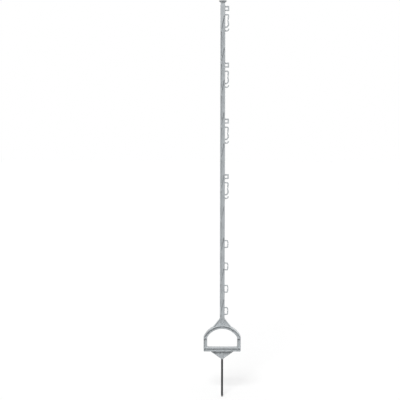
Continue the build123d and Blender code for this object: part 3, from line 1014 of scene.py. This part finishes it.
def arched_outline(side, bottom, circle, foot_bend, steps):
    """A flat foot, upright sides and an arc over them, with softened shoulders."""
    soft = 3.4 * MM
    lean = math.asin(side / circle.radius)
    shoulder_z = at_lean(circle, lean)[1]
    start = lean - soft / circle.radius
    joined = arc(0.0, circle.middle, circle.radius, start, -start, steps)
    shoulder = []
    for part in (0.0, 0.25, 0.5, 0.75):
        first, second, third = (1 - part) ** 2, 2 * part * (1 - part), part * part
        shoulder.append((side * (first + second) + joined[0][0] * third,
                         (shoulder_z - soft) * first + shoulder_z * second + joined[0][1] * third))
    feet = [Corner(-side, bottom, foot_bend), Corner(side, bottom, foot_bend)]
    return feet + sharp(shoulder + joined + flipped(shoulder))


class FENCEPOST_OT_stirrup(bpy.types.Operator):
    """Build the stirrup: a frame with shallow recesses, divided by ribs, in its front and back"""

    bl_idname = "fence_post.stirrup"
    bl_label = "Stirrup"

    def execute(self, context):
        bm = bmesh.new()
        sizes, heights = settings("stirrup"), settings("heights")
        (inner_side, inner), (outer_side, outer) = arches()
        outline = arched_outline(outer_side, heights.bar_bottom, outer, sizes.outer_corner, 56)
        opening = arched_outline(inner_side, heights.bar_top, inner, sizes.inner_corner, 48)
        plate(bm, bend_corners(outline), sizes.depth / 2, sizes.edge_round, holes=[bend_corners(opening)],
              pockets=self.hollows(sizes, heights), floor=sizes.web / 2, mouth=0.3 * MM, fillet=0.9 * MM)
        return new_moulding("stirrup", bm)

    def hollows(self, sizes, heights):
        """The hollows between the flanges and the ribs, on both sides."""
        (inner_side, inner), (outer_side, outer) = arches()
        half, near, far = sizes.rib / 2, grown(inner, sizes.flange), grown(outer, -sizes.flange)
        left, right = inner_side + sizes.flange, outer_side - sizes.flange
        low, high = heights.bar_bottom + sizes.flange, heights.bar_top - sizes.tread
        column_top, level = (heights.corner_rib + part * sizes.corner_rib for part in (-0.5, 0.5))
        start, end = Vector(at_lean(inner, sizes.arch_rib)), Vector(at_lean(outer, sizes.arch_rib))
        way = (end - start).normalized()
        aside = Vector((way.y, -way.x)) * half
        below, above = ([meet(circle, foot, way) for circle in (near, far)]
                        for foot in (start + aside, start - aside))
        bend_z = level + 3.0 * MM
        low_near, low_far = ((math.sqrt(c.radius**2 - (bend_z - c.middle) ** 2), bend_z) for c in (near, far))
        arch_low = span(far, low_far, below[1], 11) + span(near, below[0], low_near, 10)
        rooms = [
            box(left, right, low, high), box(left, right, heights.bar_top, column_top),
            box(sizes.bar_rib + half, inner_side, low, high), [(right, level)] + arch_low + [(left, level)],
            span(far, above[1], above_x(far, half), 11) + span(near, above_x(near, half), above[0], 10),
        ]
        outlines = [outline for room in rooms for outline in (room, flipped(room))]
        outlines.append(box(half - sizes.bar_rib, sizes.bar_rib - half, low, high))
        return [self.soften(outline) for outline in outlines]

    def soften(self, outline):
        """The outline of a hollow, bent where it turns sharply."""
        bend, inset, least_turn = 1.6 * MM, 1.3 * MM, math.radians(25)
        corners = []
        for index, point in enumerate(outline):
            before, here, after = (Vector(outline[(index + step) % len(outline)]) for step in (-1, 0, 1))
            corners.append(Corner(*point, bend if (here - before).angle(after - here) > least_turn else 0.0))
        return bend_corners(corners, inset)


class FENCEPOST_OT_wings(bpy.types.Operator):
    """Build the wings that spread the shaft onto the arch"""

    bl_idname = "fence_post.wings"
    bl_label = "Wings"

    def execute(self, context):
        bm = bmesh.new()
        sizes, top = settings("stirrup"), settings("heights").wing_top
        side, reach, arch = settings("shaft").width / 2, sizes.wing_width / 2, arches()[1][1]
        slope = (top - above_x(arch, reach)[1]) / (reach - side)

        def slant(x, drop=0.0):
            """A point on the wing's sloped edge, or this far under it."""
            return x, top - slope * (x - side) - drop

        # The outline runs under the arch's face and into the shaft, and past the wing at its toe
        buried = grown(arch, -2.0 * MM)
        root, wall, toe, crest = side - 2.4 * MM, side - OVERLAP, reach + 1.9 * MM, top + 8.0 * MM
        outline = sharp(span(buried, above_x(buried, root), above_x(buried, toe - 3.4 * MM), 12), held=True)
        outline += [Corner(*slant(toe)), Corner(*slant(wall), sizes.wing_corner)]
        outline += sharp([(wall, crest), (root, crest)], held=True)
        # The hollow ends just inside the arch and the shaft
        shell, start = grown(arch, -0.9 * MM), side - 0.7 * MM
        rim = sizes.wing_rim * math.sqrt(1 + slope**2)
        end = meet(shell, slant(reach, rim), Vector((-1.0, slope)).normalized())
        hollow = sharp(span(shell, above_x(shell, start), above_x(shell, end[0] - 1.2 * MM), 8), held=True)
        hollow += [Corner(*end), Corner(*slant(start, rim), 0.0, True)]
        for turn in (list, mirrored):
            plate(bm, bend_corners(turn(outline)), sizes.plate_depth / 2, sizes.wing_round,
                  pockets=[bend_corners(turn(hollow))], floor=sizes.plate_web / 2, fillet=0.6 * MM)
        return new_moulding("wings", bm)


class FENCEPOST_OT_gusset(bpy.types.Operator):
    """Build the gusset under the bar, and the socket that holds the spike"""

    bl_idname = "fence_post.gusset"
    bl_label = "Gusset and socket"

    def execute(self, context):
        bm = bmesh.new()
        sizes, heights, spike = settings("stirrup"), settings("heights"), settings("spike")
        bore = spike.tang_diameter / 2 + spike.clearance
        foot_side, foot = bore + spike.mouth_wall / 2, heights.spike_mouth + 1.5 * MM
        slope = (heights.bar_bottom - foot) / (sizes.gusset_width / 2 - foot_side)
        apex = foot - slope * foot_side

        def between(low, high, drop=0.0, bend=0.0):
            """The gusset between two heights, with its sloped sides lowered and its foot's corners bent."""
            near, far = ((z - apex - drop) / slope for z in (low, high))
            feet = [Corner(-near, low, bend), Corner(near, low, bend)]
            return feet + [Corner(far, high, 0.0, True), Corner(-far, high)]

        # Outline and hollow both end inside the bar's flange
        top, ceiling = (heights.bar_bottom + part * sizes.flange for part in (0.7, 0.4))
        rim = sizes.gusset_rim * math.sqrt(1 + slope**2)
        hollow = between(foot + sizes.gusset_round + 2.0 * MM, ceiling, rim, 1.3 * MM)
        plate(bm, bend_corners(between(foot, top)), sizes.plate_depth / 2, sizes.gusset_round,
              pockets=[bend_corners(hollow, 1.2 * MM)], floor=sizes.plate_web / 2, mouth=0.5 * MM,
              fillet=0.8 * MM)
        lathe(bm, self.socket(heights, spike, bore), (0.0, 0.0, 0.0), hollow=True)
        return new_moulding("gusset", bm)

    def socket(self, heights, spike, bore):
        """Radius and height round the socket's wall, outside and then down the bore."""
        low = heights.spike_mouth
        end = low + spike.held
        top = end + spike.roof
        mouth, crown = bore + spike.mouth_wall, bore + spike.root_wall
        lip, dome, axis = 0.4 * MM, 2.0 * MM, 0.3 * MM
        rows = [(mouth - lip + lip * math.sin(a), low + lip - lip * math.cos(a)) for a in quarter()]
        rows += [(crown - dome + dome * math.cos(a), top - dome + dome * math.sin(a)) for a in quarter()]
        return rows + [(axis, top), (axis, end), (bore, end), (bore, low + 0.2 * MM), (bore + 0.15 * MM, low)]


class FENCEPOST_OT_ejector_marks(bpy.types.Operator):
    """Build the round marks that the mould's ejector pins leave in the hollows at the back"""

    bl_idname = "fence_post.ejector_marks"
    bl_label = "Ejector marks"

    def execute(self, context):
        bm = bmesh.new()
        shaft, heights, stirrup = settings("shaft"), settings("heights"), settings("stirrup")
        inset, clear_height = 4.2 * MM, 20.0 * MM
        x, z = shaft.width / 2 - shaft.flange, heights.recess_top - shaft.rib_pitch
        while z > heights.arch_crown + clear_height:
            self.mark(bm, (x - math.copysign(inset, x), z), shaft.web / 2, 2.0 * MM)
            x, z = -x, z - shaft.rib_pitch
        (inner_side, _), (outer_side, outer) = arches()
        bar, column = (heights.bar_bottom + heights.bar_top) / 2, (heights.bar_top + heights.arch_corner) / 2
        places = [((inner_side + outer_side) / 2, column), (22 * MM, bar), (48 * MM, bar)]
        places += [at_lean(grown(outer, -6.2 * MM), math.radians(lean)) for lean in (15, 50)]
        for x, z in places:
            for sign in (1, -1):
                self.mark(bm, (sign * x, z), stirrup.web / 2, 2.4 * MM)
        return new_moulding("ejector_marks", bm)

    def mark(self, bm, place, floor, radius):
        """A low round disc that stands a little proud of a hollow's floor."""
        sunk, proud = floor - 0.5 * MM, floor + 0.2 * MM
        rows = [(radius, sunk), (radius, floor + 0.1 * MM), (radius - 0.05 * MM, floor + 0.17 * MM),
                (radius - 0.15 * MM, proud), (radius - 0.4 * MM, proud)]
        lathe(bm, rows, (place[0], 0.0, place[1]), axis="Y", steps=32)


class FENCEPOST_OT_spike(bpy.types.Operator):
    """Build the steel spike with its blunt point"""

    bl_idname = "fence_post.spike"
    bl_label = "Spike"

    def execute(self, context):
        sizes, mouth = settings("spike"), settings("heights").spike_mouth
        radius, tang = sizes.diameter / 2, sizes.tang_diameter / 2
        top, taper = mouth + sizes.held, sizes.point_length
        tip, nose, axis, chamfer = sizes.point_diameter / 2, sizes.point_round, 0.15 * MM, sizes.tang_chamfer
        rows = [(axis, 0.0)]
        rows += [(tip - nose + nose * math.sin(a), nose - nose * math.cos(a)) for a in quarter()[:-1]]
        steps, bulge = 8, 0.12 * MM
        for part in (step / steps for step in range(1, steps + 1)):
            swell = bulge * math.sin(math.pi * part)
            rows.append((tip + (radius - tip) * part + swell, nose + (taper - nose) * part))
        rows.append((radius, taper + 1.5 * MM))
        rows += [(radius, mouth * part) for part in (0.2, 0.4, 0.6, 0.8)]
        rows += [(radius, mouth - 0.4 * MM), (radius - 0.05 * MM, mouth - 0.1 * MM)]
        rows += [(radius - 0.2 * MM, mouth), (tang, mouth + 0.05 * MM)]
        rows += [(tang, top - chamfer), (tang - chamfer, top), (axis, top)]
        bm = bmesh.new()
        lathe(bm, rows, (0.0, 0.0, 0.0))
        new_piece("spike", bm, spike_steel(), "steel_spike")
        return {"FINISHED"}


# Stage: where each light comes from in degrees, and how soft it is
KEY_LIGHT = {"side": -12.0, "height": 42.0, "spread": 18.0}
TOP_LIGHT = {"side": 0.0, "height": 88.0, "spread": 90.0}
BACK_LIGHT = {"side": 142.0, "height": 10.0, "spread": 40.0}


class FENCEPOST_OT_stage(bpy.types.Operator):
    """Set up the floor, the backdrop, the lights and the camera"""

    bl_idname = "fence_post.stage"
    bl_label = "Stage"

    def execute(self, context):
        stage = settings("stage")
        self.floor()
        self.world(context.scene, stage)
        self.light("key_light", stage.key_light, **KEY_LIGHT)
        self.light("top_light", stage.top_light, **TOP_LIGHT)
        self.light("back_light", stage.back_light, **BACK_LIGHT)
        lens = bpy.data.cameras.new("camera")
        lens.lens = stage.lens
        lens.shift_x = stage.shift
        lens.clip_start, lens.clip_end = 0.1, 100.0
        camera = bpy.data.objects.new("camera", lens)
        camera.location = (0.0, -stage.camera_distance, stage.camera_height)
        camera.rotation_euler = (math.pi / 2 - stage.camera_pitch, stage.camera_roll, 0.0)
        context.scene.collection.objects.link(camera)
        context.scene.camera = camera
        context.scene.view_settings.view_transform = "Standard"
        return {"FINISHED"}

    def floor(self):
        """A wide pale floor that shows white to the camera and keeps the shadow."""
        bm = bmesh.new()
        bmesh.ops.create_grid(bm, x_segments=12, y_segments=12, size=30.0)
        material, tree, shader, place = new_material("Pale floor")
        base = Vector(settings("finish").floor)
        values = {"Grain scale": 40.0, "Wave scale": 1.5, "Wave share": 0.5}
        mottle = use_group(tree, surface_grain(), place, values).outputs["Mottle"]
        tree.links.new(blend_colours(tree, mottle, base * 0.995, base), shader.inputs["Base Color"])
        shader.inputs["Roughness"].default_value = 0.9
        shader.inputs["Specular IOR Level"].default_value = 0.0
        shader.inputs["Emission Color"].default_value = (1.0, 1.0, 1.0, 1.0)
        glow = maths(tree, "MULTIPLY", self.seen(tree), settings("stage").floor_glow)
        tree.links.new(glow, shader.inputs["Emission Strength"])
        floor = new_object("floor", bm, material)

    def seen(self, tree):
        """One for what the camera, a reflection or glass sees directly."""
        path = tree.nodes.new("ShaderNodeLightPath")
        mirror = maths(tree, "MAXIMUM", path.outputs["Is Glossy Ray"], path.outputs["Is Transmission Ray"])
        return maths(tree, "MAXIMUM", path.outputs["Is Camera Ray"], mirror)

    def world(self, scene, stage):
        """Soft light from all round, which shows white to the camera."""
        world = bpy.data.worlds.new("world")
        world.use_nodes = True
        tree = world.node_tree
        back = tree.nodes["Background"]
        back.inputs["Color"].default_value = (1.0, 1.0, 1.0, 1.0)
        seen = maths(tree, "MULTIPLY", self.seen(tree), 1.0 - stage.world)
        strength = maths(tree, "ADD", seen, stage.world)
        tree.links.new(strength, back.inputs["Strength"])
        scene.world = world

    def light(self, name, strength, side, height, spread):
        """A soft light from one direction, even over the whole post."""
        lamp = bpy.data.lights.new(name, "SUN")
        lamp.angle = math.radians(spread)
        lamp.energy = strength
        light = bpy.data.objects.new(name, lamp)
        turn, rise = math.radians(side), math.radians(height)
        way = Vector((math.sin(turn) * math.cos(rise), -math.cos(turn) * math.cos(rise), math.sin(rise)))
        light.location = way * 4.0
        light.rotation_euler = way.to_track_quat("Z", "Y").to_euler()
        bpy.context.scene.collection.objects.link(light)


PIECES = (
    FENCEPOST_OT_shaft,
    FENCEPOST_OT_head,
    FENCEPOST_OT_square_eyes,
    FENCEPOST_OT_tape_slots,
    FENCEPOST_OT_hooks,
    FENCEPOST_OT_small_loops,
    FENCEPOST_OT_wings,
    FENCEPOST_OT_stirrup,
    FENCEPOST_OT_gusset,
    FENCEPOST_OT_ejector_marks,
    FENCEPOST_OT_spike,
    FENCEPOST_OT_stage,
)


class FENCEPOST_PT_panel(bpy.types.Panel):
    """The fence post's settings and the buttons that build its pieces"""

    bl_label = "Fence post"
    bl_space_type = "VIEW_3D"
    bl_region_type = "UI"
    bl_category = "Fence post"

    def draw(self, context):
        for name, group in GROUPS.items():
            section = self.layout.box()
            section.label(text=group.__doc__)
            for key in group.__annotations__:
                section.prop(getattr(context.scene, "fence_post_" + name), key)
        for piece in PIECES:
            self.layout.operator(piece.bl_idname)


def register():
    """Register the classes and add the settings to the scene."""
    for cls in (*GROUPS.values(), *PIECES, FENCEPOST_PT_panel):
        bpy.utils.register_class(cls)
    for name, group in GROUPS.items():
        setattr(bpy.types.Scene, "fence_post_" + name, PointerProperty(type=group))


def unregister():
    """Take the settings and the classes away again."""
    for name in GROUPS:
        delattr(bpy.types.Scene, "fence_post_" + name)
    for cls in reversed((*GROUPS.values(), *PIECES, FENCEPOST_PT_panel)):
        bpy.utils.unregister_class(cls)


def main():
    """Build every piece and the stage."""
    register()
    for piece in PIECES:
        group, name = piece.bl_idname.split(".")
        getattr(getattr(bpy.ops, group), name)()


if __name__ == "__main__":
    main()
